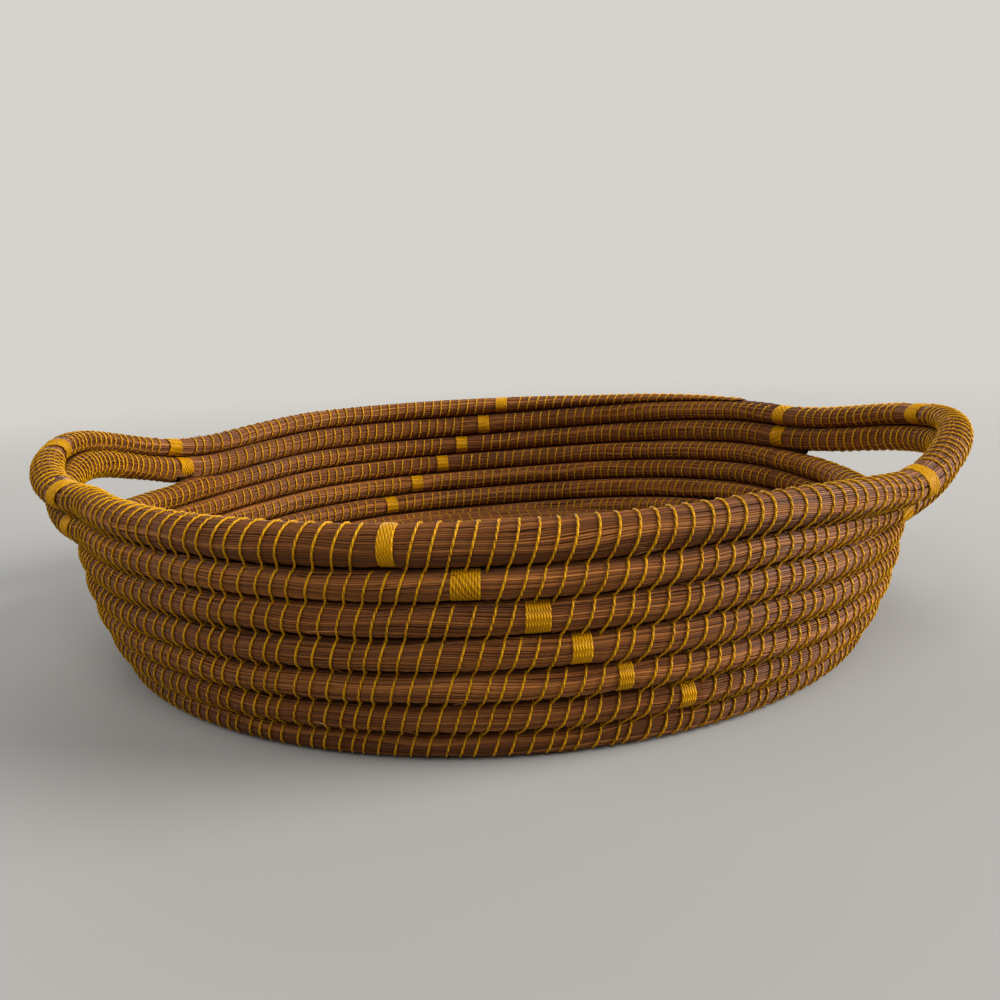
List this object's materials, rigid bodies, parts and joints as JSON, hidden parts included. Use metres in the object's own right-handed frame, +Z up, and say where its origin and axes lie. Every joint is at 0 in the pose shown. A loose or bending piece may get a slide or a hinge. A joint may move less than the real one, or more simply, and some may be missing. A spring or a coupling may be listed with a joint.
{
  "type": "pine needle basket",
  "caption": "Low round coiled basket of brown pine needle bundles sewn with golden thread, with two loop handles and stepped wrapped bands",
  "frame": {"origin": "on the table, under the middle of the knot at the middle of the base", "axes": "+Z up out of the basket, handles towards +X and -X, the pictured front towards -Y"},
  "size_m": [0.3531, 0.3114, 0.0774],
  "materials": {
    "pine_needles": "dry brown needles with a soft sheen",
    "waxed_thread": "golden waxed two-ply thread"
  },
  "bodies": {
    "root": {"base_start_knot": "waxed_thread", "base_coil": "pine_needles", "wall_coil": "pine_needles", "front_rim_upper": "pine_needles", "right_handle_upper": "pine_needles", "back_rim_upper": "pine_needles", "left_handle_upper": "pine_needles", "front_rim_lower": "pine_needles", "right_handle_lower": "pine_needles", "back_rim_lower": "pine_needles", "left_handle_lower": "pine_needles", "front_band_1": "waxed_thread", "front_band_2": "waxed_thread", "front_band_3": "waxed_thread", "front_band_4": "waxed_thread", "front_band_5": "waxed_thread", "front_band_6": "waxed_thread", "back_band_1": "waxed_thread", "back_band_2": "waxed_thread", "back_band_3": "waxed_thread", "back_band_4": "waxed_thread", "back_band_5": "waxed_thread", "back_band_6": "waxed_thread", "right_handle_band_front_upper": "waxed_thread", "right_handle_band_bend_upper": "waxed_thread", "right_handle_band_back_upper": "waxed_thread", "right_handle_band_front_lower": "waxed_thread", "right_handle_band_back_lower": "waxed_thread", "left_handle_band_front_upper": "waxed_thread", "left_handle_band_bend_upper": "waxed_thread", "left_handle_band_back_upper": "waxed_thread", "left_handle_band_front_lower": "waxed_thread", "left_handle_band_back_lower": "waxed_thread"}
  },
  "joints": []
}
